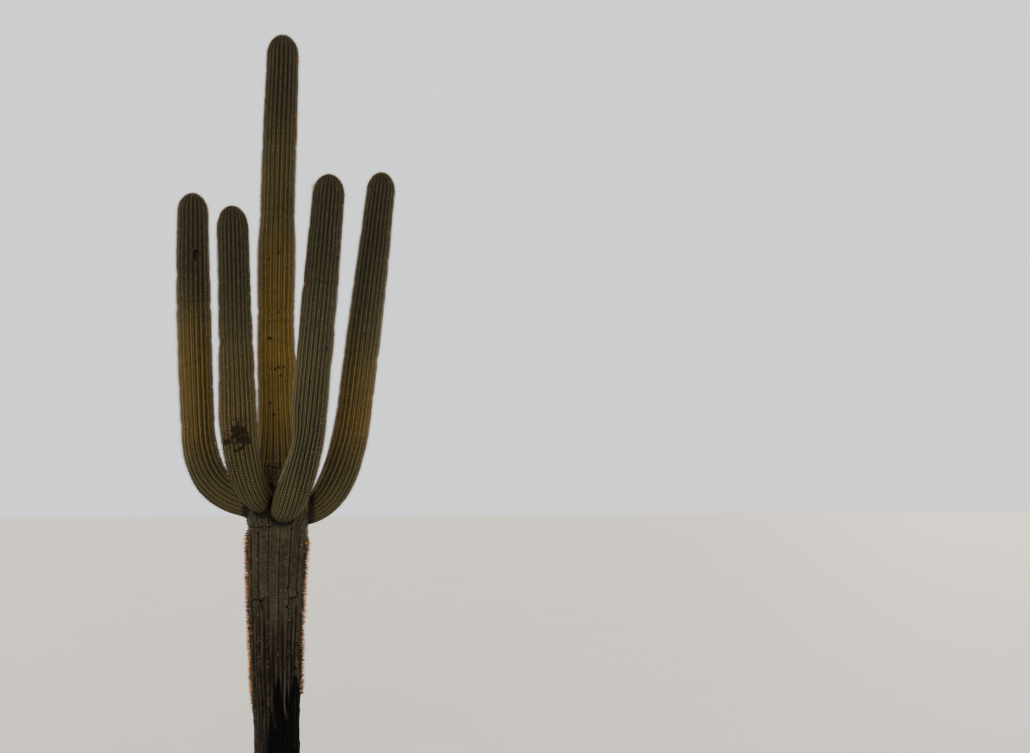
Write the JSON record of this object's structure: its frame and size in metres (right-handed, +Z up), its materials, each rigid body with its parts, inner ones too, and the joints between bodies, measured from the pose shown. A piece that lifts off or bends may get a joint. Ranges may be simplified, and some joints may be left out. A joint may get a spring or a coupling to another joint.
{
  "type": "saguaro cactus",
  "caption": "Tall ribbed columnar cactus, rooted in the ground, whose arms leave a swollen shoulder and turn up beside the main stem.",
  "frame": {"origin": "middle of the flat cut under the trunk, at ground level", "axes": "+Z up along the trunk, +X to the right of the picture, -Y towards the viewer"},
  "size_m": [1.7282, 0.8196, 6],
  "materials": {
    "trunk_skin": "matte ribbed skin, olive green above and bark brown below, nearly black at the foot",
    "arm_skin": "matte waxy ribbed skin, olive green"
  },
  "bodies": {
    "root": {"trunk": "trunk_skin", "left_outer_arm_elbow": "arm_skin", "left_outer_arm_upright": "arm_skin", "left_inner_arm_elbow": "arm_skin", "left_inner_arm_upright": "arm_skin", "right_inner_arm_elbow": "arm_skin", "right_inner_arm_upright": "arm_skin", "right_outer_arm_elbow": "arm_skin", "right_outer_arm_upright": "arm_skin"}
  },
  "joints": []
}
